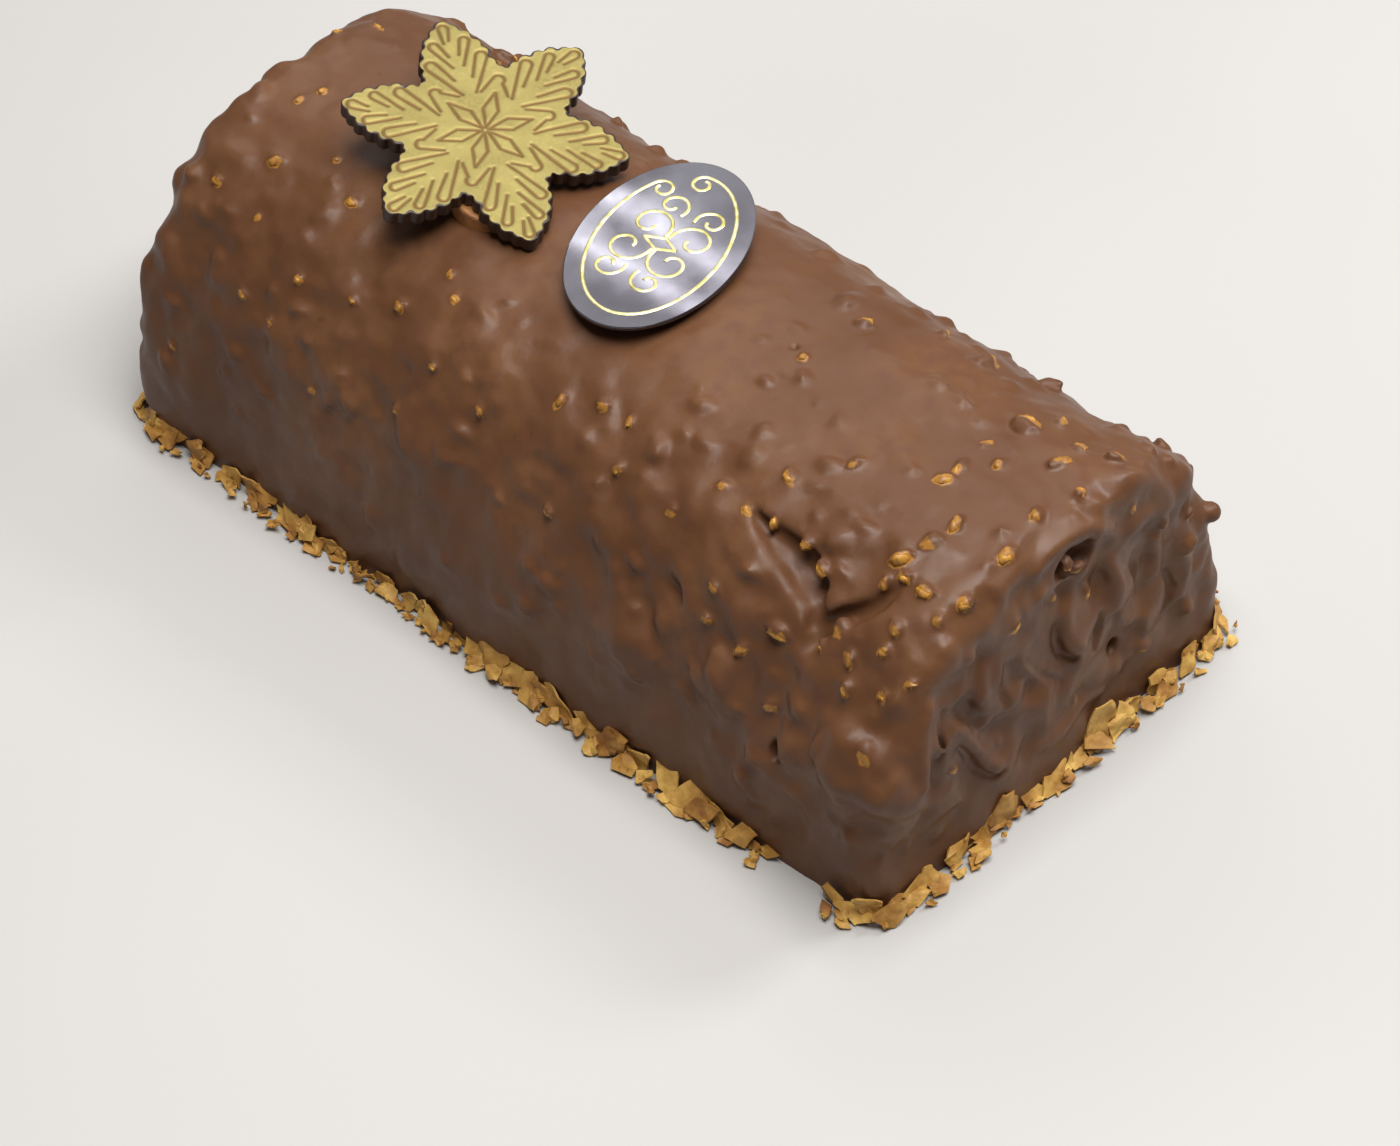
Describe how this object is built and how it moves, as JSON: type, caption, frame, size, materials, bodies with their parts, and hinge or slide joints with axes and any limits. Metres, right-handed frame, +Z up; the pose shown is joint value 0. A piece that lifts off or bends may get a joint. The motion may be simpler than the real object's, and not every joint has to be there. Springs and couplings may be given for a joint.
{
  "type": "yule log cake",
  "caption": "Glazed half-round chocolate log cake with chopped nuts, wafer flakes round its foot, a snowflake and an oval plaque on top.",
  "frame": {"origin": "middle of the flat base, on the surface that the cake stands on", "axes": "+X along the log to its front end, +Y to its far side, +Z up"},
  "size_m": [0.2327, 0.1239, 0.087],
  "materials": {
    "chocolate_glaze": "satin milk chocolate glaze with chopped nuts under it",
    "nut": "roasted chopped nut tips that show through the glaze",
    "wafer": "thin crisp golden wafer flakes",
    "milk_chocolate": "plain set milk chocolate",
    "gilded_chocolate": "dark chocolate dusted with gold powder",
    "plaque_film": "glossy silver grey film with a fine gold printed line"
  },
  "bodies": {
    "root": {"log_cake": "chocolate_glaze", "plaque_dab": "milk_chocolate", "snowflake_plaque": "gilded_chocolate", "oval_plaque": "plaque_film"}
  },
  "joints": []
}
